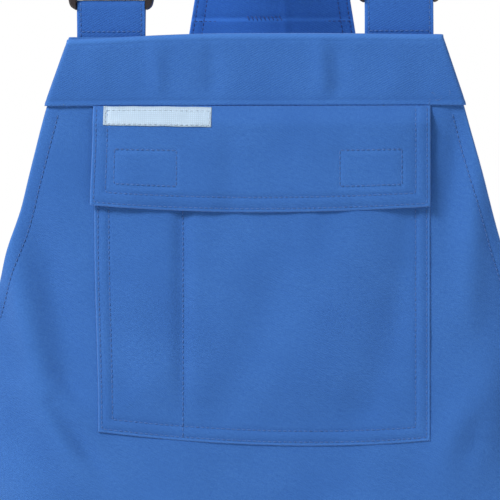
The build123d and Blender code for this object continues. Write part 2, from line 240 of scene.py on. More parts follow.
def spunThread(name, tone):
    # core-spun sewing thread: plied, slightly shinier than the cloth
    material, tree, shader = newMaterial(name, {"Roughness": 0.6, "Sheen Weight": 0.1})
    place = addNode(tree, "ShaderNodeTexCoord").outputs["Object"]
    ply = addNode(tree, "ShaderNodeTexNoise", {"Scale": 1 / (0.8 * mm), "Detail": 2.0}, {"Vector": place})
    shades = {"data_type": "RGBA", 6: shaded(tone, 0.72), 7: colour(tone)}
    plied = addNode(tree, "ShaderNodeMix", shades, {0: ply.outputs["Fac"]})
    tree.links.new(plied.outputs[2], shader.inputs["Base Color"])
    return material


def wovenLabel(name):
    # damask label: pale polyester satin whose picks stand out as fine checks
    material, tree, shader = newMaterial(name, {"Roughness": 0.55, "Sheen Weight": 0.1})
    uv = addNode(tree, "ShaderNodeUVMap", {"uv_map": "cloth"}).outputs["UV"]
    picks = []
    for direction in ("X", "Y"):
        pick = {"Scale": math.pi / 10 / satinPick, "Distortion": 1.2, "bands_direction": direction}
        picks.append(addNode(tree, "ShaderNodeTexWave", pick, {"Vector": uv}).outputs["Fac"])
    checks = addNode(tree, "ShaderNodeMath", {"operation": "MULTIPLY"}, {0: picks[0], 1: picks[1]})
    checks = checks.outputs["Value"]
    weave = {"data_type": "RGBA", 6: shaded("label", 0.84), 7: shaded("label", 1.1)}
    body = addNode(tree, "ShaderNodeMix", weave, {0: checks}).outputs[2]
    soil = addNode(tree, "ShaderNodeTexNoise", {"Scale": 1 / stain, "Detail": 5.0}, {"Vector": uv})
    limits = {"From Min": 0.42, "From Max": 0.7, "To Max": 0.5}
    soiled = addNode(tree, "ShaderNodeMapRange", limits, {"Value": soil.outputs["Fac"]}).outputs["Result"]
    # the same edge mask makes the label darker towards its edges
    edge = addNode(tree, "ShaderNodeAttribute", {"attribute_name": "rubAndHighlight"}).outputs["Fac"]
    for factor, tint in ((soiled, shaded("label", 0.8)), (edge, shaded("label", 0.74))):
        body = addNode(tree, "ShaderNodeMix", {"data_type": "RGBA", 7: tint}, {0: factor, 6: body}).outputs[2]
    tree.links.new(body, shader.inputs["Base Color"])
    bump = addNode(tree, "ShaderNodeBump", {"Strength": 0.7, "Distance": 0.12 * mm}, {"Height": checks})
    tree.links.new(bump.outputs["Normal"], shader.inputs["Normal"])
    return material


def mouldedAcetal(name):
    # spark-eroded mould texture on acetal: near black, satin, with a fine even grain
    material, tree, shader = newMaterial(name, {"IOR": 1.48})
    place = addNode(tree, "ShaderNodeTexCoord").outputs["Object"]
    grain = addNode(tree, "ShaderNodeTexNoise", {"Scale": 1 / (0.7 * mm), "Detail": 3.0}, {"Vector": place})
    scuff = addNode(tree, "ShaderNodeTexNoise", {"Scale": 1 / (14 * mm), "Detail": 5.0}, {"Vector": place})
    shades = {"data_type": "RGBA", 6: colour("acetal"), 7: shaded("acetal", 1.9)}
    body = addNode(tree, "ShaderNodeMix", shades, {0: scuff.outputs["Fac"]})
    tree.links.new(body.outputs[2], shader.inputs["Base Color"])
    shine = {"To Min": 0.32, "To Max": 0.55}
    rough = addNode(tree, "ShaderNodeMapRange", shine, {"Value": scuff.outputs["Fac"]})
    tree.links.new(rough.outputs["Result"], shader.inputs["Roughness"])
    relief = {"Strength": 0.35, "Distance": 0.06 * mm}
    bump = addNode(tree, "ShaderNodeBump", relief, {"Height": grain.outputs["Fac"]})
    tree.links.new(bump.outputs["Normal"], shader.inputs["Normal"])
    return material


def nylonPile(name, tone, grain):
    # knitted nylon tape: its pile scatters light, so it is dull and mottled
    material, tree, shader = newMaterial(name, {"Roughness": 0.85, "Sheen Weight": 0.05})
    place = addNode(tree, "ShaderNodeTexCoord").outputs["Object"]
    cells = addNode(tree, "ShaderNodeTexVoronoi", {"Scale": 1 / grain}, {"Vector": place}).outputs["Distance"]
    shades = {"data_type": "RGBA", 6: colour(tone), 7: shaded(tone, 0.6)}
    body = addNode(tree, "ShaderNodeMix", shades, {0: cells})
    tree.links.new(body.outputs[2], shader.inputs["Base Color"])
    bump = addNode(tree, "ShaderNodeBump", {"Strength": 0.7, "Distance": 0.4 * mm}, {"Height": cells})
    tree.links.new(bump.outputs["Normal"], shader.inputs["Normal"])
    return material


panelCloth = cottonTwill("royal blue cotton twill", "panel", "panelLight")
strapCloth = cottonTwill("strap cotton twill", "straps", "strapsLight")
yokeCloth = cottonTwill("yoke cotton twill", "yoke", "yokeLight")
threadFinish = spunThread("core-spun thread", "thread")
labelThread = spunThread("pale polyester thread", "labelThread")
darkThread = spunThread("navy core-spun thread", "darkThread")
labelFinish = wovenLabel("damask label")
buckleFinish = mouldedAcetal("moulded acetal")
loopFinish = nylonPile("nylon loop pile", "tape", 0.9 * mm)
hookFinish = nylonPile("nylon hook ground", "tape", 1.4 * mm)
print("materials made")


# cloth as meshes


def finishPiece(piece, material, slot, body=None, nodes=()):
    piece.data.materials.append(material)
    for face in piece.data.polygons:
        face.use_smooth = True
    if body:
        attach(piece, body)
    if nodes:
        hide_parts(*nodes)
    return piece


def meshPiece(name, points, faces):
    mesh = bpy.data.meshes.new(name)
    mesh.from_pydata(points, [], faces)
    piece = bpy.data.objects.new(name, mesh)
    bpy.context.scene.collection.objects.link(piece)
    return piece


def clothPiece(name, us, vs, place, thickness, nodes, body="apron", look=None, turned=False):
    # place(u, v) gives a point of the outer face, the cloth's own coordinates for the weave
    # and the edge mask there, which paints rubbed wear and a painted highlight on the cotton
    points, weave, rubsAndHighlights, faces = [], [], [], []
    for v in vs:
        for u in us:
            point, cloth, rubAndHighlight = place(u, v)
            points.append([c * mm for c in point])
            weave.append((cloth[0] * mm, cloth[1] * mm))
            rubsAndHighlights.append(rubAndHighlight)
    wide = len(us)
    for j in range(len(vs) - 1):
        for i in range(wide - 1):
            a = j * wide + i
            face = (a, a + wide, a + wide + 1, a + 1)
            faces.append(face[::-1] if turned else face)
    piece = meshPiece(name, points, faces)
    layer = piece.data.uv_layers.new(name="cloth")
    for loop in piece.data.loops:
        layer.data[loop.index].uv = weave[loop.vertex_index]
    piece.data.attributes.new("rubAndHighlight", "FLOAT", "POINT").data.foreach_set("value", rubsAndHighlights)
    bpy.ops.object.select_all(action="DESELECT")
    bpy.context.view_layer.objects.active = piece
    piece.select_set(True)
    wall = piece.modifiers.new("Solidify", "SOLIDIFY")
    wall.thickness, wall.offset = thickness * mm, -1.0
    bpy.ops.object.modifier_apply(modifier=wall.name)
    return finishPiece(piece, *(look or (panelCloth, "twill")), body, nodes)


# sewing

stitchShape = {"pitch": 3.1, "share": 0.76, "radius": 0.27, "sides": 5}
seams = {}  # name of a sewn piece to its stitches


def sewOne(points, faces, start, end, outward):
    # one stitch: a short tube that dives into the cloth at both ends
    along = end - start
    if along.length < 0.3:
        return
    across = along.cross(outward).normalized()
    sides, radius = stitchShape["sides"], stitchShape["radius"]
    first = len(points)
    rings = ((0, 0.35, -0.25), (0.16, 1, 0.1), (0.84, 1, 0.1), (1, 0.35, -0.25))
    for share, swell, lift in rings:
        middle = start + along * share + outward * lift
        for k in range(sides):
            turn = 2 * math.pi * k / sides
            spot = middle + (across * math.cos(turn) + outward * math.sin(turn)) * radius * swell
            points.append(spot * mm)
    for ring in range(3):
        for k in range(sides):
            a, b = first + ring * sides + k, first + ring * sides + (k + 1) % sides
            faces.append((a, b, b + sides, a + sides))
    faces.append(tuple(first + k for k in reversed(range(sides))))
    faces.append(tuple(first + 3 * sides + k for k in range(sides)))


def sew(name, place, route, lift=0.12, side=1):
    # a row of stitches along a route of (u, v) on a cloth's outer face
    points, faces = seams.setdefault(name, ([], []))
    fine = [route[0]]
    for a, b in zip(route, route[1:]):
        count = max(1, int(math.hypot(b[0] - a[0], b[1] - a[1])))
        fine += [(mix(a[0], b[0], k / count), mix(a[1], b[1], k / count)) for k in range(1, count + 1)]
    spots = [Vector(place(u, v)[0]) for u, v in fine]
    lengths = lengthsAlong(spots)
    stitchCount = max(1, round(lengths[-1] / stitchShape["pitch"]))
    pitch = lengths[-1] / stitchCount
    gap = (1 - stitchShape["share"]) / 2

    def spotAt(distance):
        low, high, t = spanAt(lengths, distance)
        return spots[low].lerp(spots[high], t)

    for k in range(stitchCount):
        start, end = spotAt((k + gap) * pitch), spotAt((k + 1 - gap) * pitch)
        low, high, t = spanAt(lengths, (k + 0.5) * pitch)
        u, v = mix(fine[low][0], fine[high][0], t), mix(fine[low][1], fine[high][1], t)
        outward = facing(place, u, v) * side
        sewOne(points, faces, start + outward * lift, end + outward * lift, outward)


def facing(place, u, v, reach=0.6):
    # which way a cloth's outer face points, u to the right and v downwards
    right = Vector(place(u + reach, v)[0]) - Vector(place(u - reach, v)[0])
    down = Vector(place(u, v + reach)[0]) - Vector(place(u, v - reach)[0])
    return down.cross(right).normalized()


def sewnPiece(name, body="apron", finish=threadFinish, slot="twill"):
    return finishPiece(meshPiece(name, *seams[name]), finish, slot, body)


# the front panel

# half widths at the bib's top and at the band's seam, and how deep that seam lies
bibHalf, seamHalf, seamDepth = 112.0, 125.5, 41.0
panel = {
    "cornerRadius": 95.0,  # how the cloth turns round the hips
    # half width and depth
    "armhole": ((seamHalf, seamDepth), (133.6, 65.7), (169.2, 232.4), (207.0, 240.0)),
    "runOut": 1.5,  # how far the armhole's end still drops on its way to the back edge
    "rowStep": 2.4,  # between rows of the mesh beside the armhole
    "waist": (215, 262),  # rows in here are evened out in the middle
    "rim": 16.0,  # this much beside each edge keeps its width in every row
    "rimShare": 0.15,
    "edgeReach": 110.0,  # beyond this the cut edge changes nothing
    "hemRow": 8.4,  # armhole stitching from the edge
    "sideTop": 252,  # where the side hems start
    "sideStep": 12,
    "hemWidth": 10.0,
    "bottomRow": 18.0,
    "thickness": 1.0,
    "skirtWave": 15.0,
    "creaseRise": 1.75,
}
sideX = panelHigh.x
flatHalf = sideX - panel["cornerRadius"]
cornerLength = panel["cornerRadius"] * math.pi / 2
sideEnd = flatHalf + cornerLength + (panelHigh.y - frontY - panel["cornerRadius"])
panelLength = topZ - hemZ


def onBody(s, out):
    # s millimetres along the cloth from the middle, and out from the panel's outer face
    a = abs(s)
    radius = panel["cornerRadius"]
    if a <= flatHalf:
        x, y, nx, ny = a, frontY, 0.0, -1.0
    elif a <= flatHalf + cornerLength:
        turn = (a - flatHalf) / radius
        nx, ny = math.sin(turn), -math.cos(turn)
        x, y = flatHalf + radius * nx, frontY + radius + radius * ny
    else:
        x, y, nx, ny = sideX, frontY + radius + a - flatHalf - cornerLength, 1.0, 0.0
    return math.copysign(x + nx * out, s), y + ny * out


def alongBody(x):
    # how far along the cloth a place in front view lies
    a = min(abs(x), sideX)
    if a > flatHalf:
        a = flatHalf + panel["cornerRadius"] * math.asin((a - flatHalf) / panel["cornerRadius"])
    return math.copysign(a, x)


# soft creases in the hanging cloth: two ends as (distance along, depth), width and height
creases = [
    ((-132, 108), (-108, 210), 13.0, -4.0),
    ((-152, 112), (-130, 205), 10.0, 2.6),
    ((-121, 222), (-90, 266), 6.0, -3.4),
    ((-132, 210), (-86, 276), 12.0, 2.8),
    ((-122, 196), (-106, 214), 5.0, -1.4),
    ((-160, 250), (-110, 300), 18.0, 3.0),
    ((122, 46), (116, 124), 8.0, -1.9),
    ((134, 66), (127, 170), 9.0, 1.7),
    ((150, 190), (112, 270), 17.0, 2.4),
    ((136, 226), (122, 262), 7.0, -1.7),
    ((176, 262), (120, 340), 20.0, 3.0),
    ((-60, 262), (-40, 420), 24.0, 2.6),
    ((70, 262), (56, 420), 22.0, 2.4),
    ((10, 300), (22, 520), 20.0, -2.0),
    ((286, 262), (196, 330), 15.0, 3.4),
    ((288, 282), (222, 430), 17.0, 3.2),
    ((270, 250), (180, 286), 9.0, -2.0),
    ((-286, 262), (-188, 344), 16.0, 3.4),
    ((-288, 284), (-230, 420), 17.0, 3.0),
    ((-266, 252), (-176, 290), 9.0, -2.2),
]


def creaseHeight(x, depth):
    height = 0.0
    for start, end, width, rise in creases:
        away, t = nearestOn(start, end, x, depth)
        if away < 3 * width:
            height += rise * dip(away, width) * math.sin(math.pi * clamp(0.12 + 0.76 * t))
    return height * panel["creaseRise"]


def skirtDrape(s, depth):
    # long folds that start below the waist and open towards the hem
    grow = smooth(depth, 268, 560) * mix(0.6, 1.0, smooth(depth, 520, 900))
    swing = 0.66 * math.sin(s / 27.5 + 0.9 * math.sin(s / 61 + 1.1) + depth / 700)
    swing += 0.26 * math.sin(s / 14.2 + 2.0 + depth / 420) * (0.5 + wander(s, 0, 90, 3.0))
    swing += 0.30 * wander(s, depth * 0.16, 32, 8.0)
    return panel["skirtWave"] * grow * swing


def bezier(points, t):
    (x0, y0), (x1, y1), (x2, y2), (x3, y3) = points
    a, b, c, d = (1 - t) ** 3, 3 * t * (1 - t) ** 2, 3 * t * t * (1 - t), t**3
    return a * x0 + b * x1 + c * x2 + d * x3, a * y0 + b * y1 + c * y2 + d * y3


def panelEdge():
    # the cut edge from the bib's top corner down, as (distance along the cloth, depth),
    # in steps so short that neighbouring rows of the mesh never shear far
    cut = [bezier(panel["armhole"], k / 600) for k in range(601)]
    cut = [(alongBody(x), depth) for x, depth in cut]
    last, depth = cut[-1]
    cut += [(mix(last, sideEnd, k / 50), depth + panel["runOut"] * k / 50) for k in range(1, 51)]
    edge = [(mix(bibHalf, seamHalf, k / 10), seamDepth * k / 10) for k in range(10)]
    gone = 99.0  # so that the armhole's first point is kept
    for (s1, d1), (s2, d2) in zip(cut, cut[1:]):
        if gone > panel["rowStep"]:
            edge.append((s1, d1))
            gone = 0.0
        gone += abs(s2 - s1) + 0.45 * abs(d2 - d1)
    edge.append(cut[-1])
    below = depth + 3
    while below < panelLength - 24:
        edge.append((sideEnd, below))
        below += 6.5
    edge += [(sideEnd, panelLength - d) for d in (24, 20, 19, 18, 17, 16, 12, 8, 4, 1.5, 0.5, 0)]
    return edge


edgePoints = panelEdge()


def edgeAt(v):
    # the cut edge at row number v
    low = int(clamp(math.floor(v), 0, len(edgePoints) - 2))
    t = clamp(v - low)
    (s1, d1), (s2, d2) = edgePoints[low], edgePoints[low + 1]
    return mix(s1, s2, t), mix(d1, d2, t)


rowDepths = [depth for _, depth in edgePoints]  # how deep each row lies in the middle of the cloth
waistRows = [i for i, depth in enumerate(rowDepths) if panel["waist"][0] < depth < panel["waist"][1]]
firstWaist, lastWaist = waistRows[0], waistRows[-1]
for index in waistRows:
    share = (index - firstWaist) / (lastWaist - firstWaist)
    rowDepths[index] = mix(edgePoints[firstWaist][1], edgePoints[lastWaist][1], share)


def panelHeight(s, depth, toEdge):
    height = creaseHeight(s, depth) + skirtDrape(s, depth)
    height += 0.7 * wander(s, depth, 36, 1.5) + 0.16 * wander(s, depth, 9, 4.0)
    if depth > seamDepth:
        height -= 0.22 * dip(toEdge - panel["hemRow"], 1.4)
        height += 0.30 * dip(toEdge - 4.4, 3.0)
    height -= 0.35 * dip(panelLength - depth - panel["bottomRow"], 1.5)
    return height - rounded(toEdge, 0.9)


def panelPlace(u, v):
    # u runs from -1 to 1 across the cloth, v is the row number
    reach, edgeDepth = edgeAt(v)
    low = int(clamp(math.floor(v), 0, len(rowDepths) - 2))
    middleDepth = mix(rowDepths[low], rowDepths[low + 1], v - low)
    a, rim, rimShare = abs(u), panel["rim"], panel["rimShare"]
    if a > 1 - rimShare:
        s = reach - rim * (1 - a) / rimShare
    else:
        s = (reach - rim) * a / (1 - rimShare)
    depth = mix(middleDepth, edgeDepth, (s / reach) ** 4)
    s = math.copysign(s, u)
    toEdge = edgeDistance(abs(s), depth, int(v), reach)
    out = panelHeight(s, depth, toEdge)
    x, y = onBody(s, out)
    # painted highlight: the cut edge is painted lighter, part rubbed wear and part painted highlight, and
    # cloth that stands out is painted lighter where light would catch it
    rubAndHighlight = 0.55 * dip(toEdge, 1.6) + 0.12 * clamp(out / 3)
    return (x, y, topZ - depth), (s, depth), rubAndHighlight


def edgeDistance(s, depth, row, reach):
    # the shortest way to the cut edge, looked for among the rows nearby
    nearest = panel["edgeReach"]
    if reach - s > nearest:
        return nearest
    for k in range(max(0, row - 46), min(len(edgePoints) - 1, row + 8)):
        nearest = min(nearest, nearestOn(edgePoints[k], edgePoints[k + 1], s, depth)[0])
    return nearest


plainShare = 1 - panel["rimShare"]
columns = [plainShare * k / 58 for k in range(59)]
columns += [plainShare + panel["rimShare"] * k / 16 for k in range(1, 17)]
columns = [-c for c in reversed(columns[1:])] + columns
rows = range(len(edgePoints))
frontPanel = clothPiece("frontPanel", columns, rows, panelPlace, panel["thickness"], ["front_panel"])


wellInside = 400.0  # further from the cut edge than anything it shapes


def panelAt(s, depth, out=0.0):
    # a place on the panel by distance along the cloth and depth, for what is sewn on it
    x, y = onBody(s, panelHeight(s, depth, wellInside) + out)
    return Vector((x, y, topZ - depth))


def armholeRoute(inset, side):
    route = []
    for v in range(11, len(edgePoints)):
        reach, depth = edgeAt(v)
        if reach > sideEnd - inset:
            break
        (s1, d1), (s2, d2) = edgeAt(v - 0.5), edgeAt(v + 0.5)
        run = math.hypot(s2 - s1, d2 - d1)
        route.append((side * (reach - inset * (d2 - d1) / run), depth + inset * (s2 - s1) / run))
    return route


def panelSurface(s, depth):
    return panelAt(s, depth), (s, depth), 0


for side in (-1, 1):
    down = range(panel["sideTop"], 881, panel["sideStep"])
    down = [(side * (sideEnd - panel["hemRow"]), depth) for depth in down]
    sew("panelStitching", panelSurface, armholeRoute(panel["hemRow"], side) + down)
across = [(mix(-sideEnd, sideEnd, k / 60), panelLength - panel["bottomRow"]) for k in range(61)]
sew("panelStitching", panelSurface, across)


def hemStrip(name, node, route, width):
    # the edge of the panel turned to the inside, along a route on the cloth
    def place(u, v):
        low = int(clamp(math.floor(v), 0, len(route) - 2))
        t = v - low
        s, depth = (mix(a, b, t) for a, b in zip(route[low][:2], route[low + 1][:2]))
        ahead, behind = route[min(low + 1, len(route) - 1)], route[low]
        run = Vector((ahead[0] - behind[0], ahead[1] - behind[1])).normalized()
        s, depth = s + run.y * u * route[low][2], depth - run.x * u * route[low][2]
        spot = panelAt(s, depth, -panel["thickness"] - 0.05 - 0.25 * dip(u - width, 1.2))
        # the hem's inner fold is painted lighter: part rubbed wear, part painted highlight
        return tuple(spot), (s, depth), 0.25 * dip(u - width, 1.0)

    us = [width * k / 4 for k in range(5)]
    clothPiece(name, us, range(len(route)), place, 0.8, [node], turned=route[0][2] < 0)


for side, word in ((-1, "left"), (1, "right")):
    armholeEnd = alongBody(panel["armhole"][3][0])
    edge = [(side * s, depth, -side) for s, depth in edgePoints[10:] if s < armholeEnd]
    hemStrip(f"armholeHem_{word}", f"armhole_hem_{word}", edge, panel["hemWidth"])
    down = range(panel["sideTop"], 900, panel["sideStep"])
    edge = [(side * sideEnd, depth, -side) for depth in down]
    hemStrip(f"sideHem_{word}", f"side_hem_{word}", edge, panel["hemWidth"])
inner = sideEnd - panel["hemWidth"]
edge = [(mix(-inner, inner, k / 90), panelLength - 0.5, 1) for k in range(91)]
hemStrip("bottomHem", "bottom_hem", edge, 20.0)
sewnPiece("panelStitching")
print("front panel made")

# the band across the bib's top

band = {"face": 1.1, "fold": 1.5, "rows": (2.4, 38.2), "thickness": 0.8}
bandCreases = [(-60, 5, 0.9), (-27, 6, -0.8), (39, 5, 0.8), (49, 6, -0.7), (-96, 8, 0.5), (84, 9, 0.6)]
bandDepth = topZ - seamZ
foldLength = math.pi * band["fold"]


def bandPlace(u, v):
    # v runs up the front, over the fold at 0 and down the facing: negative in front
    if v < 0:
        depth, out, rise = -v, band["face"], 0.0
    elif v < foldLength:
        turn = v / band["fold"]
        depth, out = 0.0, band["face"] - band["fold"] * (1 - math.cos(turn))
        rise = band["fold"] * math.sin(turn) * 0.8
    else:
        depth, out, rise = v - foldLength, band["face"] - 2 * band["fold"], 0.0
    half = mix(bibHalf, seamHalf, depth / bandDepth) + 0.8
    x = u * half
    wave = sum(h * dip(x - cx - 0.08 * depth, w) for cx, w, h in bandCreases)
    out += 1.9 * wave * smooth(depth, -4, 16) * smooth(bandDepth - depth, 1, 14)
    out += 0.6 * wander(x, depth, 26, 7.0) + 0.10 * wander(x, depth, 7, 9.0)
    for row in band["rows"]:
        out -= 0.30 * dip(depth - row, 1.1) * (1 if v < 0 else -1)
    toSide = half - abs(x)
    out -= rounded(toSide, 1.0) - 0.15
    if v < 0:
        out -= rounded(bandDepth - depth + 0.2, 1.2)
    # the top fold, the lower edge and the ends are painted lighter: part rubbed wear, part painted highlight
    rubAndHighlight = 0.5 * dip(depth, 1.5) + 0.55 * dip(bandDepth - depth, 0.9) + 0.35 * dip(toSide, 1.2)
    bx, y = onBody(x, out)
    sag = 0.9 * math.sin(math.pi * (u + 1) / 2) - 2.6 * smooth(-u, 0.2, 1.1)
    fade = 1 - depth / bandDepth
    return (bx, y, topZ - depth + rise + sag * fade - 0.9 * fade), (x + 400, v), rubAndHighlight


bandVs = [-41.0, -40.6, -40.0, -39.3]
bandVs += [-v for v in reversed(steps(0.0, 38.8, 1.8, band["rows"], 2.5, 0.7))]
bandVs += [foldLength * k / 6 for k in range(1, 7)] + [foldLength + d for d in (3, 8, 16, 24, 32, 40.5)]
bandUs = [-1 + 2 * k / 170 for k in range(171)]
topBand = clothPiece("topBand", bandUs, bandVs, bandPlace, band["thickness"], ["top_band", "band_facing"])
for row in band["rows"]:
    sew("bandStitching", bandPlace, [(-0.985, -row), (0.985, -row)])
looseEnds = [(103, 35.5, 7, 1.9), (107, 37.5, 5, -2.4), (111, 33.5, 8, 2.6), (115, 36.5, 4.5, -1.6)]
for x, depth, length, curl in looseEnds:  # thread ends that the seam's corner has frayed into
    spots, heading = [], 0.4 * curl
    for k in range(9):
        half = mix(bibHalf, seamHalf, depth / bandDepth)
        spots.append(Vector(bandPlace(x / half, -depth)[0]) - Vector((0, 0.35 + 0.05 * k, 0)))
        x, depth = x + length / 8 * math.cos(heading), depth + length / 8 * math.sin(heading)
        heading += curl / 8
    for a, b in zip(spots, spots[1:]):
        sewOne(*seams["bandStitching"], a, b, Vector((0, -1, 0)))
sewnPiece("bandStitching")
print("band made")

# the chest pocket and what its mouth carries

pocket = {
    "rise": 2.6,  # how far its middle stands off its sewn edges
    "mouthRise": 4.3,
    "rows": (2.2, 8.8),  # stitching from the edge
    "penSeam": -43.0,
    "hem": 11.0,
    "leftLow": -196.5,  # lower corners and lowest point below the band's seam
    "rightLow": -201.0,
    "belly": -204.0,
    "thickness": 0.8,
}
mouthZ = pocketHigh.z
pocketLeft, pocketRight = pocketLow.x, pocketHigh.x
pocketDeep = mouthZ - seamZ - pocket["belly"]


def pocketLowEdge(x):
    # the lower edge bows gently and hangs lower towards the viewer's right
    t = (x - pocketLeft) / (pocketRight - pocketLeft)
    straight = mix(pocket["leftLow"], pocket["rightLow"], t)
    sag = pocket["belly"] - (pocket["leftLow"] + pocket["rightLow"]) / 2
    return seamZ + straight + sag * 4 * t * (1 - t) * (0.85 + 0.3 * t)


pocketCreases = [
    ((64, 50), (24, 150), 20, 1.1),
    ((104, 60), (68, 168), 13, -1.3),
    ((-74, 110), (-60, 180), 12, 0.7),
    ((10, 100), (-20, 175), 12, -0.7),
    ((-84, 30), (-52, 22), 8, -0.7),
    ((34, 20), (30, 90), 9, 0.5),
]


def pocketHeight(x, down, toBottom):
    toSide = min(x - pocketLeft, pocketRight - x)
    near = min(toSide, toBottom)
    out = 1.25 + pocket["rise"] * smooth(near, 7, 46)
    out = mix(out, pocket["mouthRise"], smooth(toSide, 2, 22) * (1 - smooth(down, 10, 70)))
    out = mix(out, 1.35, dip(x - pocket["penSeam"], 5.0) * smooth(down, -4, 24))
    for row in pocket["rows"]:
        out -= 0.40 * dip(near - row, 1.2)
    out += 0.28 * dip(near - 5.5, 2.0)
    out -= 0.25 * dip(down - pocket["hem"], 1.2)
    for start, end, width, rise in pocketCreases:
        out += 1.5 * rise * dip(nearestOn(start, end, x, down)[0], width) * smooth(near, 3, 24)
    out += 0.4 * wander(x, down, 30, 12.0) + 0.12 * wander(x, down, 8, 14.0)
    return out - rounded(near, 0.8)


def pocketPlace(u, v):
    x, down = u, v
    z = mouthZ - v * (mouthZ - pocketLowEdge(u)) / pocketDeep
    toBottom = (pocketDeep - v) * (mouthZ - pocketLowEdge(u)) / pocketDeep
    x += 2.4 * smooth(v, 60, pocketDeep) * smooth(-u, 40, 96)  # its left edge leans in downwards
    toSide = min(u - pocketLeft, pocketRight - u)
    # the pocket's edges are painted lighter: part rubbed wear, part painted highlight
    rubAndHighlight = 0.75 * dip(min(toSide, toBottom), 0.9)
    out = pocketHeight(u, v, toBottom)
    sx, y = onBody(x, out + panelHeight(x, topZ - z, wellInside) * (1 - 0.5 * smooth(toSide, 8, 40)))
    return (sx, y, z), (u + 900, v + 37), rubAndHighlight


def bothSides(left, right, rows):
    return [left + row for row in rows] + [right - row for row in rows]


sewn = bothSides(pocketLeft, pocketRight, pocket["rows"]) + [pocket["penSeam"]]
us = steps(pocketLeft, pocketRight, 2.1, sewn, 2.6, 0.8)
us = [pocketLeft, pocketLeft + 0.4] + us[1:-1] + [pocketRight - 0.4, pocketRight]
sewn = [pocketDeep - row for row in pocket["rows"]] + [pocket["hem"]]
vs = steps(0, pocketDeep, 2.3, sewn, 2.6, 0.8)
vs = vs[:-1] + [pocketDeep - 0.4, pocketDeep]
pocketBag = clothPiece("pocketBag", us, vs, pocketPlace, pocket["thickness"], ["pocket_bag"])


def pocketHemPlace(u, v):
    # the mouth's edge is turned to the inside
    (x, y, z), cloth, rubAndHighlight = pocketPlace(u, v)
    return (x, y + pocket["thickness"] + 0.1, z), cloth, rubAndHighlight


hemVs = [pocket["hem"] * k / 5 for k in range(6)]
clothPiece("pocketHem", us[3:-3], hemVs, pocketHemPlace, 0.7, ["pocket_hem"])
for row in pocket["rows"]:
    left, right, low = pocketLeft + row, pocketRight - row, pocketDeep - row
    sew("pocketStitching", pocketPlace, [(left, 2), (left, low), (right, low), (right, 2)])
sew("pocketStitching", pocketPlace, [(pocket["penSeam"], 3), (pocket["penSeam"], pocketDeep - 2.2)])
hemRow = pocket["hem"] - 1
sew("pocketStitching", pocketPlace, [(pocketLeft + 3, hemRow), (pocketRight - 3, hemRow)])
betweenRows = sum(pocket["rows"]) / 2
for x in (pocketLeft + betweenRows, pocket["penSeam"], pocketRight - betweenRows):
    for down in (1.5 + 0.9 * k for k in range(7)):  # bar tacks at the corners of the mouth
        sew("pocketStitching", pocketPlace, [(x - 3.2, down), (x + 3.2, down)], 0.2)
sewnPiece("pocketStitching")
print("pocket made")

flap = {
    "top": 0.6,  # below the band's seam
    "thickness": 1.7,
    "cover": 2.2,  # how far it stands off the pocket
    "rows": (2.2, 9.0),
    "length": 64.5,
}
flapLeft, flapRight = flapLow.x, flapHigh.x
tapeInset = 1.5  # the tape's sewing from its edge
tapeTop, tapeDeep = seamZ - tapeHigh.z, tapeHigh.z - tapeLow.z
tapeSpans = [tuple(corner.x for corner in boxOf(f"hook_tape_{side}")) for side in ("left", "right")]


def flapLength(x):
    # its free edge bows down a little in the middle and hangs lowest left of it
    t = (x - flapLeft) / (flapRight - flapLeft)
    return flap["length"] - 3.4 * (2 * t - 1) ** 2 - 0.9 * (1 - t) * (1 - 4 * t * (1 - t))


def tapeEdge(x, down):
    # distance to the nearest line of sewing that holds the hook tape
    nearest = 99.0
    low = tapeTop + tapeDeep
    for left, right in tapeSpans:
        outX = max(left + tapeInset - x, x - right + tapeInset)
        outZ = max(tapeTop + tapeInset - down, down - low + tapeInset)
        gap = math.hypot(max(outX, 0), max(outZ, 0)) if max(outX, outZ) > 0 else -max(outX, outZ)
        nearest = min(nearest, gap)
    return nearest


def flapPlace(u, v):
    # v runs down from the seam along the cloth
    length = flapLength(u)
    down = flap["top"] + v * (length - flap["top"]) / flap["length"]
    z = seamZ - down
    toSide, toEnd = min(u - flapLeft, flapRight - u), length - down
    near = min(toSide, toEnd)
    under = pocket["mouthRise"] + flap["cover"] + flap["thickness"] - 0.6
    out = mix(1.95, under, smooth(down, 0.0, 13.0))
    out -= (1 - smooth(toSide, 0, 26)) * 2.6 * smooth(down, 0, 20)
    out -= 1.1 * (1 - smooth(toEnd, 0, 13)) * smooth(toSide, 4, 30)
    for row in flap["rows"]:
        if toEnd > row - 4 or toSide > row - 4:
            out -= 0.42 * dip(near - row, 1.2)
    out += 0.25 * dip(near - 5.6, 2.0)
    out -= 0.34 * dip(tapeEdge(u, down), 1.3)
    out += 0.9 * dip(u - 32 - 0.2 * down, 15) * smooth(down, 6, 30)
    out -= 0.8 * dip(u + 14, 7) * smooth(down, 4, 26)
    out += 0.7 * dip(u + 30, 11) * smooth(down, 6, 30)
    out += 0.35 * wander(u, down, 26, 21.0) + 0.10 * wander(u, down, 7, 23.0)
    out -= rounded(near, 1.5)
    x = u - 1.6 * smooth(down, 10, 64) * smooth(-u, 60, 97)
    # the flap's edges and the ridges round the tape's sewing are painted lighter: part rubbed wear, part
    # painted highlight
    rubAndHighlight = 0.9 * dip(near, 0.8) + 0.14 * dip(tapeEdge(u, down), 2.0)
    sx, y = onBody(x, out)
    return (sx, y, z), (u + 1500, v + 11), rubAndHighlight


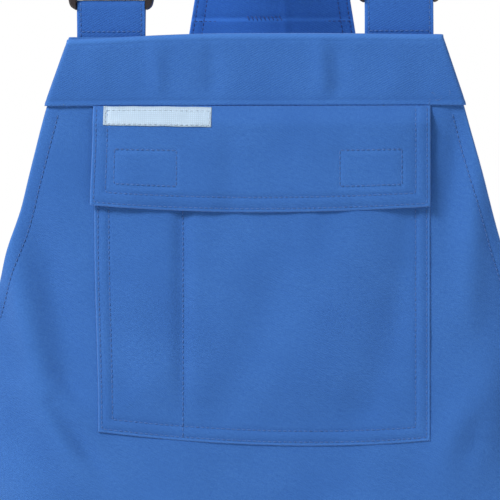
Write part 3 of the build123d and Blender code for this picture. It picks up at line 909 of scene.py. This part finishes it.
low, tapeRows = flap["length"], (tapeTop + tapeInset, tapeTop + 23.5)
sewn = bothSides(flapLeft, flapRight, flap["rows"])
sewn += [x for left, right in tapeSpans for x in (left + tapeInset, right - tapeInset)]
us = steps(flapLeft, flapRight, 1.9, sewn, 2.4, 0.8)[1:-1]
us += bothSides(flapLeft, flapRight, (0.0, 0.25, 0.6))
vs = steps(0, low, 1.9, [low - row for row in flap["rows"]] + list(tapeRows), 2.4, 0.8)
vs = vs[:-1] + [low - d for d in (0.6, 0.25, 0.0)]
us, vs = sorted(set(us)), sorted(set(vs))
nodes = ["pocket_flap", "flap_lining"]
pocketFlap = clothPiece("pocketFlap", us, vs, flapPlace, flap["thickness"], nodes, None)
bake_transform(pocketFlap)
for row in flap["rows"]:
    left, right = flapLeft + row, flapRight - row
    route = [(left, 1.5), (left, low - row), (right, low - row), (right, 1.5)]
    sew("flapStitching", flapPlace, route)
for left, right in tapeSpans:
    a, b, (c, d) = left + tapeInset, right - tapeInset, tapeRows
    sew("flapStitching", flapPlace, [(a, c), (b, c), (b, d), (a, d), (a, c)])
sewnPiece("flapStitching", "flap")

label = {"left": -90.6, "width": 65.0, "height": 12.4, "top": 1.0, "lean": 0.012, "row": 1.1}


def labelPlace(u, v):
    # lies on the flap, a little crooked, with its ends drawn in by the sewing
    x = label["left"] + u
    down = label["top"] + v + label["lean"] * (u - label["width"] / 2) + 0.35 * wander(u, v, 15, 30.0)
    (_, y, z), _, _ = flapPlace(x, clamp(down - flap["top"], 0.0, 60.0))
    edge = min(u, label["width"] - u, v, label["height"] - v)
    # marks the label's edges, which the label's material makes darker
    rubAndHighlight = 0.8 * (1 - smooth(edge, 0.3, 1.1))
    lift = 0.42 + 0.12 * wander(u, v, 6, 33.0) - 0.15 * dip(min(u, label["width"] - u) - 1.2, 0.8)
    return (x, y - lift, z), (u, v), rubAndHighlight


us = [label["width"] * k / 90 for k in range(91)]
vs = [label["height"] * k / 24 for k in range(25)]
look = (labelFinish, "woven_label")
blankLabel = clothPiece("blankLabel", us, vs, labelPlace, 0.35, ["name_label"], "flap", look)
left, right, low = label["row"], label["width"] - label["row"], label["height"] - label["row"]
top = 2.5  # the upper row stays clear of the band when the flap is folded back over it
sew("labelStitching", labelPlace, [(left, top), (left, low), (right, low), (right, top)])
sew("labelStitching", labelPlace, [(left, top), (right, top)], 0.03)
sewnPiece("labelStitching", "flap", labelThread)
print("flap and label made")

# ribbons: straps, belt and tapes

ribbons = {}  # name of a ribbon to its place function and which way its face turns


def ribbon(name, path, width, thickness, body, node, rows, seed, thread):
    # path is a list of (middle of the outer face, direction across, outward side)
    lengths = lengthsAlong([spot for spot, _, _ in path])
    whole = lengths[-1]

    def place(u, v):
        low, high, t = spanAt(lengths, v)
        spot, across, outward = (a.lerp(b, t) for a, b in zip(path[low], path[high]))
        across.normalize()
        outward.normalize()
        toEdge = width / 2 - abs(u)
        out = 0.14 * wander(u + 50, v, 17, seed) + 0.06 * wander(u, v, 5, seed + 2)
        for row in rows:
            out -= 0.22 * dip(toEdge - row, 1.0)
        out -= rounded(toEdge, min(0.7, thickness / 2))
        drift = 0.25 * wander(v, seed * 10, 60, seed)
        # the edges are painted lighter: part rubbed wear, part painted highlight
        rubAndHighlight = 0.6 * dip(toEdge, 1.0)
        return tuple(spot + across * (u + drift) + outward * out), (u + 60 * seed, v), rubAndHighlight

    half = width / 2
    us = steps(-half, half, max(1.6, width / 20), bothSides(-half, half, rows), 1.8, 0.7)
    us = sorted(set([-half, -half + 0.3] + us[1:-1] + [half - 0.3, half]))
    count = max(2, int(whole / 3.2))
    vs = sorted(set([whole * k / count for k in range(count + 1)] + [x for x in lengths if x < whole]))
    vs = [v for i, v in enumerate(vs) if i == 0 or v - vs[i - 1] > 0.15]
    along = path[1][0] - path[0][0]
    turned = along.cross(path[0][1]).dot(path[0][2]) < 0
    piece = clothPiece(name, us, vs, place, thickness, [node], body, (strapCloth, "strap_twill"), turned)
    ribbons[name] = (place, whole, -1 if turned else 1)
    for row in rows:
        for edge in (-half + row, half - row):
            sew(thread, place, [(edge, 1.0), (edge, whole - 1.0)], 0.1, ribbons[name][2])
    return piece


def bendTo(middle, radius, start, end, plane, count=9):
    # points round a bar: angles in degrees in the plane's two directions
    first, second = plane
    spots = []
    for k in range(count):
        angle = math.radians(mix(start, end, k / (count - 1)))
        outward = first * math.cos(angle) + second * math.sin(angle)
        spots.append((middle + outward * radius, outward))
    return spots


def straightTo(a, b, outward, step=4.0):
    count = max(1, int((b - a).length / step))
    return [(a.lerp(b, k / count), outward) for k in range(count + 1)]


def withAcross(spots, across):
    return [(spot, across, outward) for spot, outward in spots]


strap = {
    "width": 40.0,
    "cloth": 1.6,
    "rows": (2.6, 9.0),  # stitching from the edge
    "tabWidth": 41.2,
    "tabCloth": 1.1,
    "barReach": 3.7,  # from the middle of a buckle's bar to the outside of the cloth round it
}
right, back, up = Vector((1, 0, 0)), Vector((0, 1, 0)), Vector((0, 0, 1))
plugBar = 59.75  # from a socket's lower end up to the plug's bar
socketBar = 2.25
for side, word in ((-1, "left"), (1, "right")):
    socketLow, socketHigh = boxOf(f"buckle_socket_{word}")
    tabLow, _ = boxOf(f"strap_tab_{word}")
    x = (socketLow.x + socketHigh.x) / 2
    y = (socketLow.y + socketHigh.y) / 2
    barZ = socketLow.z + socketBar
    reach = strap["barReach"]

    def strapSpot(out, z):
        return Vector((x, y + out, z))

    spots = straightTo(strapSpot(-1.25, tabLow.z), strapSpot(-1.25, topZ + 1), -back)
    spots += straightTo(strapSpot(-1.45, topZ + 3), strapSpot(-reach, barZ - 1), -back)
    spots += bendTo(strapSpot(0, barZ), reach, 180, 0, (back, up))
    spots += straightTo(strapSpot(reach, barZ - 1), strapSpot(1.45, topZ + 3), back)
    spots += straightTo(strapSpot(1.25, topZ + 1), strapSpot(1.25, tabLow.z), back)
    piece = ribbon(f"strapTab_{word}", withAcross(spots, right), strap["tabWidth"], strap["tabCloth"],
                   "apron", f"strap_tab_{word}", (2.4,), 3.0 + side, f"tabStitching_{word}")
    place, whole, sign = ribbons[piece.name]
    crossing = (topZ - tabLow.z) + 3.4
    sew(f"tabStitching_{word}", place, [(-18.2, crossing), (18.2, crossing)], 0.12, sign)
    sewnPiece(f"tabStitching_{word}")

    barZ = socketLow.z + plugBar
    foot = barZ + 16
    spots = straightTo(strapSpot(2.3, barZ + 26), strapSpot(2.3, foot), back)
    spots += straightTo(strapSpot(2.4, foot - 3), strapSpot(reach, barZ + 1), back)
    spots += bendTo(strapSpot(0, barZ), reach, 0, -180, (back, up))
    spots += straightTo(strapSpot(-reach, barZ + 1), strapSpot(-0.9, foot - 2), -back)
    spots = withAcross(spots, right)
    strapLow, strapHigh = boxOf(f"shoulder_strap_{word}")
    yokeTop, backY = yokeHigh.z, strapHigh.y - 0.9
    endX = abs(strapLow.x if side > 0 else strapHigh.x) + 20
    middles = []
    for k in range(61):
        angle = 3 * k
        sine, cosine = math.sin(math.radians(angle)), math.cos(math.radians(angle))
        reach, base = (y, foot) if angle < 90 else (-backY, yokeTop)
        inward = smooth(angle, 72, 162)
        middle = Vector((side * mix(abs(x), endX, inward), reach * cosine, base + (0.9 - base) * sine))
        outward = Vector((0, cosine / reach, sine / (0.9 - base))).normalized()
        middles.append((middle, outward))
    middles.append((middles[-1][0] - up * 19, back))
    for k, (middle, outward) in enumerate(middles):
        along = (middles[min(k + 1, 61)][0] - middles[max(k - 1, 0)][0]).normalized()
        across = outward.cross(along).normalized()
        across = across if across.x > 0 else -across
        spots.append((middle + outward * 0.8, across, outward))
    piece = ribbon(f"shoulderStrap_{word}", spots, strap["width"], strap["cloth"], None,
                   f"shoulder_strap_{word}", strap["rows"], 6.0 + side, f"strapStitching_{word}")
    place, whole, sign = ribbons[piece.name]
    for v in (13.5, 15.5, 54.5, 56.5):
        sew(f"strapStitching_{word}", place, [(-17.5, v), (17.5, v)], 0.12, sign)
    stitching = sewnPiece(f"strapStitching_{word}", None)
    for soft in (piece, stitching):
        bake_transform(soft)
print("shoulder straps made")

# the back yoke

yoke = {"seam": -146.0, "crease": 8.6, "rows": (2.4, 8.0), "cloth": 0.9}
yokeTop, yokeBottom = yokeHigh.z, yokeLow.z
yokeY = yokeLow.y - 1.0  # middle of the straps between the two layers


def yokeHalf(z):
    return mix(44.7, 77.5, (yokeTop - z) / (yokeTop - yokeBottom))


def strapBulge(x, z):
    # the layers part over the straps sewn between them
    over = 0.0
    for middle, low, high in ((23.5, yokeTop - 20, yokeTop + 9), (57.5, yokeBottom - 9, yokeBottom + 20)):
        beside = max(0.0, abs(abs(x) - middle) - 20)
        past = max(0.0, low - z, z - high)
        over = max(over, dip(math.hypot(beside, past), 3.0))
    return over


def yokeLayer(name, node, sign):
    # sign is 1 for the outer layer and -1 for the lining
    def place(u, v):
        z = yokeTop - v
        half = yokeHalf(z)
        x = u * half
        toEdge = min(half - abs(x), v, yokeTop - yokeBottom - v)
        out = 0.15 + 0.95 * strapBulge(x, z) + yoke["cloth"]
        out += 0.8 * smooth(toEdge, 6, 30) + 0.5 * wander(x, z, 38, 41.0 + sign)
        for row in yoke["rows"]:
            out -= 0.3 * dip(toEdge - row, 1.1)
        out -= 0.55 * dip(z - yoke["seam"], 1.2) - 0.45 * dip(z - yoke["seam"] + 3.2, 2.4)
        out -= sign * 1.1 * dip(x - yoke["crease"], 2.6) * smooth(toEdge, 2, 14)
        out -= rounded(toEdge, 0.9)
        wave = 2.2 * math.sin(x / 34 + 0.6) * smooth(v, 20, 120) * smooth(yokeTop - yokeBottom - v, 0, 60)
        # the edges and the ridge beside the seam are painted lighter: part rubbed wear, part painted
        # highlight
        rubAndHighlight = 0.5 * dip(toEdge, 1.3) + 0.4 * dip(z - yoke["seam"] + 1.6, 1.0)
        return (x, yokeY + wave + sign * out, z), (x + 2000, v), rubAndHighlight

    rows = [-1 + r / 60 for r in yoke["rows"]] + [1 - r / 60 for r in yoke["rows"]]
    us = steps(-1, 1, 0.03, rows, 0.04, 0.012)
    deep = yokeTop - yokeBottom
    vs = steps(0, deep, 3.0, bothSides(0, deep, yoke["rows"]) + [yokeTop - yoke["seam"]], 3.0, 0.9)
    look = (yokeCloth, "yoke_twill")
    piece = clothPiece(name, us, vs, place, yoke["cloth"], [node], "apron", look, turned=sign > 0)
    facingSide = -sign
    for row in yoke["rows"]:
        edge = []
        for u, v in ((-1, 0), (1, 0), (1, deep), (-1, deep), (-1, 0)):
            half = yokeHalf(yokeTop - (row if v == 0 else deep - row))
            edge.append((u * (1 - row / half), clamp(v, row, deep - row)))
        sew(name + "Stitching", place, edge, 0.12, facingSide)
    seam = yokeTop - yoke["seam"]
    sew(name + "Stitching", place, [(-0.97, seam + 2.4), (0.97, seam + 2.4)], 0.12, facingSide)
    half = yokeHalf(yoke["seam"])
    for x in (mix(-15.5, 5.5, k / 8) for k in range(9)):  # the bar tack that holds the loop's feet
        tack = [((x - 1) / half, seam - 1.5), ((x + 1) / half, seam + 2.5)]
        sew(name + "Stitching", place, tack, 0.3, facingSide)
    sewnPiece(name + "Stitching", "apron", darkThread)


yokeLayer("backYoke", "back_yoke", 1)
yokeLayer("yokeLining", "yoke_lining", -1)

loopLow, loopHigh = boxOf("hanging_loop")
loopX, loopHalf = (loopLow.x + loopHigh.x) / 2, 9.75
springs = Vector((loopX, loopLow.y + 3, loopHigh.z - 10.5))  # middle of the round upper end
foot = Vector((loopX, loopLow.y + 3, loopLow.z - 1))
beside = right * loopHalf
spots = straightTo(foot - beside, springs - beside, -right, 2.0)
spots += bendTo(springs, loopHalf, 180, 0, (right, up), 13)
spots += straightTo(springs + beside, foot + beside, right, 2.0)
spots = withAcross(spots, back)
ribbon("hangingLoop", spots, 5.6, 1.2, "apron", "hanging_loop", (1.2,), 12.0, "loopStitching")
sewnPiece("loopStitching", "apron", darkThread)
print("yoke made")

# back straps and belt

belt = {"width": 38.0, "cloth": 1.1, "corner": 69.6}  # corner: how it turns round the hips
for side, word in ((-1, "left"), (1, "right")):
    low, high = boxOf(f"back_strap_{word}")
    loopLow, loopHigh = boxOf(f"belt_loop_{word}")
    topX, lowX = side * 56.5, (loopLow.x + loopHigh.x) / 2
    y = high.y
    waistTop = low.z + 40
    spots = []
    for k in range(31):
        z = mix(high.z, low.z + 1, k / 30)
        lean = smooth(z, yokeBottom + 6, waistTop - 6)
        bow = 1.6 * math.sin(math.pi * clamp((yokeBottom - z) / (yokeBottom - waistTop)))
        spots.append((Vector((mix(topX, lowX, lean), y + bow, z)), right, back))
    piece = ribbon(f"backStrap_{word}", spots, strap["width"], strap["cloth"], "apron",
                   f"back_strap_{word}", strap["rows"], 15.0 + side, f"backStrapStitching_{word}")
    sewnPiece(f"backStrapStitching_{word}")

    middle = (loopLow + loopHigh) / 2
    halfY, halfZ = (loopHigh.y - loopLow.y) / 2, (loopHigh.z - loopLow.z) / 2
    corner = 1.6
    spots = []
    for startAngle, cy, cz in ((180, -1, 1), (90, 1, 1), (0, 1, -1), (-90, -1, -1)):
        centre = middle + back * cy * (halfY - corner) + up * cz * (halfZ - corner)
        spots += bendTo(centre, corner, startAngle, startAngle - 90, (back, up), 5)
    spots.append(spots[0])
    ribbon(f"beltLoop_{word}", withAcross(spots, right), strap["width"], 1.0, "apron",
           f"belt_loop_{word}", (2.6,), 18.0 + side, f"beltLoopStitching_{word}")
    sewnPiece(f"beltLoopStitching_{word}")

    beltLow, beltHigh = boxOf("belt_" + word)
    beltX, corner = max(abs(beltLow.x), abs(beltHigh.x)), belt["corner"]
    z = (beltLow.z + beltHigh.z) / 2
    out = right * side
    socketLow, socketHigh = boxOf("buckle_socket_belt" if side < 0 else "buckle_plug_belt")
    barX = socketLow.x + socketBar if side < 0 else socketHigh.x - socketBar
    bar = Vector((barX, (socketLow.y + socketHigh.y) / 2, z))
    beltY, endY, barOut = bar.y + 0.8, bar.y - 1.9, side * barX

    def beltSpot(x, y):
        return Vector((side * x, y, z))

    spots = straightTo(beltSpot(beltX, beltLow.y), beltSpot(beltX, beltY - corner), out)
    spots += bendTo(beltSpot(beltX - corner, beltY - corner), corner, 0, 90, (out, back), 27)
    spots += straightTo(beltSpot(beltX - corner - 3, beltY), beltSpot(barOut + 9, beltY), back)
    spots += bendTo(bar, strap["barReach"], 90, 270, (out, back), 11)
    spots += straightTo(beltSpot(barOut + 8, endY), beltSpot(barOut + 24, endY), -back, 3.0)
    body = "apron" if side < 0 else None
    piece = ribbon(f"belt_{word}Half", withAcross(spots, up), belt["width"], belt["cloth"], body,
                   "belt_" + word, strap["rows"], 22.0 + side, f"beltStitching_{word}")
    place, whole, sign = ribbons[piece.name]
    turnStart = whole - 24 - math.pi * strap["barReach"]
    for v in (turnStart - 14, turnStart - 12, 12, 14, 26):
        sew(f"beltStitching_{word}", place, [(-16.5, v), (16.5, v)], 0.12, sign)
    stitching = sewnPiece(f"beltStitching_{word}", body)
    if side > 0:
        for soft in (piece, stitching):
            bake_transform(soft)
print("belt made")

# hook and loop tape

for side, (left, rightEnd) in zip(("left", "right"), tapeSpans):
    low, high = boxOf(f"loop_tape_{side}")
    wide, tall, top = rightEnd - left, high.z - low.z, mouthZ - high.z

    def loopPlace(u, v):
        (x, y, z), _, _ = pocketPlace(left + u, top + v)
        edge = min(u, wide - u, v, tall - v)
        pile = 0.85 + 0.14 * wander(u, v, 1.4, 50.0) + 0.1 * wander(u, v, 4, 51.0) - rounded(edge, 0.7)
        return (x, y - pile, z), (u, v), 0

    us, vs = [wide * k / 50 for k in range(51)], [tall * k / 32 for k in range(33)]
    look = (loopFinish, "loop_tape")
    clothPiece(f"loopTape_{side}", us, vs, loopPlace, 0.8, [f"loop_tape_{side}"], "apron", look)

    def hookPlace(u, v):
        (x, y, z), _, _ = flapPlace(left + u, tapeTop - flap["top"] + v)
        edge = min(u, wide - u, v, tall - v)
        return (x, y + flap["thickness"] + 0.45 - rounded(edge, 0.3), z), (u, v), 0

    us, vs = [wide * k / 24 for k in range(25)], [tall * k / 15 for k in range(16)]
    look = (hookFinish, "hook_tape")
    clothPiece(f"hookTape_{side}", us, vs, hookPlace, 0.4, [f"hook_tape_{side}"], "flap", look, turned=True)
    points, faces = seams.setdefault(f"tapeHooks_{side}", ([], []))
    for i in range(24):
        for j in range(15):
            u, v = (i + 0.7) * wide / 24.6, (j + 0.7) * tall / 15.6
            foot = Vector(hookPlace(u, v)[0])
            lean = 0.35 if (i + j) % 2 else -0.35
            sewOne(points, faces, foot, foot + Vector((lean, 0.55, -0.1)), Vector((0, 0, 1)))
    sewnPiece(f"tapeHooks_{side}", "flap", hookFinish, "hook_tape")
print("hook and loop tape made")

# buckles

for name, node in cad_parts.items():
    if name.startswith("buckle"):
        node.data.materials.clear()
        node.data.materials.append(buckleFinish)

# camera, light and floor

view = {"width": 300.0, "distance": 2200.0, "turn": 3.4, "middle": (-2.7, -298.1)}
camera = bpy.data.cameras.new("camera")
camera.sensor_width = 36
camera.lens = 36 * view["distance"] / view["width"]
cameraObject = bpy.data.objects.new("camera", camera)
bpy.context.scene.collection.objects.link(cameraObject)
turn = math.radians(view["turn"])
aim = Vector((view["middle"][0], frontY, view["middle"][1]))
eye = aim + Vector((math.sin(turn), -math.cos(turn), 0)) * view["distance"]
cameraObject.location = eye * mm
cameraObject.rotation_euler = (math.radians(90), 0, turn)
camera.clip_end = 50
bpy.context.scene.camera = cameraObject


def softBox(name, place, size, power, target):
    light = bpy.data.lights.new(name, "AREA")
    light.shape = "RECTANGLE"
    light.size, light.size_y = size
    light.energy = power
    lamp = bpy.data.objects.new(name, light)
    bpy.context.scene.collection.objects.link(lamp)
    lamp.location = place
    lamp.rotation_euler = (Vector(target) - Vector(place)).to_track_quat("-Z", "Y").to_euler()


softBox("keyLight", (-1.5, -1.75, 1.6), (0.8, 0.8), 85, (0, -0.1, -0.4))
softBox("fillLight", (1.7, -1.8, -0.7), (1.6, 1.6), 9, (0, -0.1, -0.45))
softBox("backLight", (0.9, 2.1, 1.1), (1.0, 1.0), 40, (0, 0, -0.4))
softBox("sideLight", (-2.2, 0.6, 0.1), (1.2, 1.8), 9, (0, 0, -0.5))

# a pale room, brighter overhead than at eye level, that looks plain white
world = bpy.data.worlds.new("studio")
bpy.context.scene.world = world
world.use_nodes = True
tree = world.node_tree
tree.nodes.clear()
seen = addNode(tree, "ShaderNodeLightPath").outputs["Is Camera Ray"]
heading = addNode(tree, "ShaderNodeTexCoord").outputs["Generated"]
height = addNode(tree, "ShaderNodeSeparateXYZ", {}, {"Vector": heading}).outputs["Z"]
levels = {"From Min": -0.1, "To Min": 0.18, "To Max": 0.58}
glow = addNode(tree, "ShaderNodeMapRange", levels, {"Value": height}).outputs["Result"]
strength = addNode(tree, "ShaderNodeMix", {"data_type": "FLOAT", 3: 1.0}, {0: seen, 2: glow})
white = addNode(tree, "ShaderNodeBackground", {"Color": (1, 1, 1, 1)}, {"Strength": strength.outputs[0]})
addNode(tree, "ShaderNodeOutputWorld", {}, {"Surface": white.outputs["Background"]})
bpy.context.scene.view_settings.view_transform = "Standard"

bpy.ops.object.select_all(action="DESELECT")
bpy.ops.mesh.primitive_plane_add(size=80, location=(0, 0, (hemZ - 60) * mm))
floor = bpy.context.object
floor.name = "floor"
matt, tree, shader = newMaterial("matt studio floor", {"Roughness": 0.9})  # painted board: no shine
place = addNode(tree, "ShaderNodeTexCoord").outputs["Object"]
mottle = addNode(tree, "ShaderNodeTexNoise", {"Scale": 3.0, "Detail": 3.0}, {"Vector": place})
shades = {"data_type": "RGBA", 6: shaded("floor", 0.97), 7: colour("floor")}
pale = addNode(tree, "ShaderNodeMix", shades, {0: mottle.outputs["Fac"]})
tree.links.new(pale.outputs[2], shader.inputs["Base Color"])
floor.data.materials.append(matt)
print("stage set")
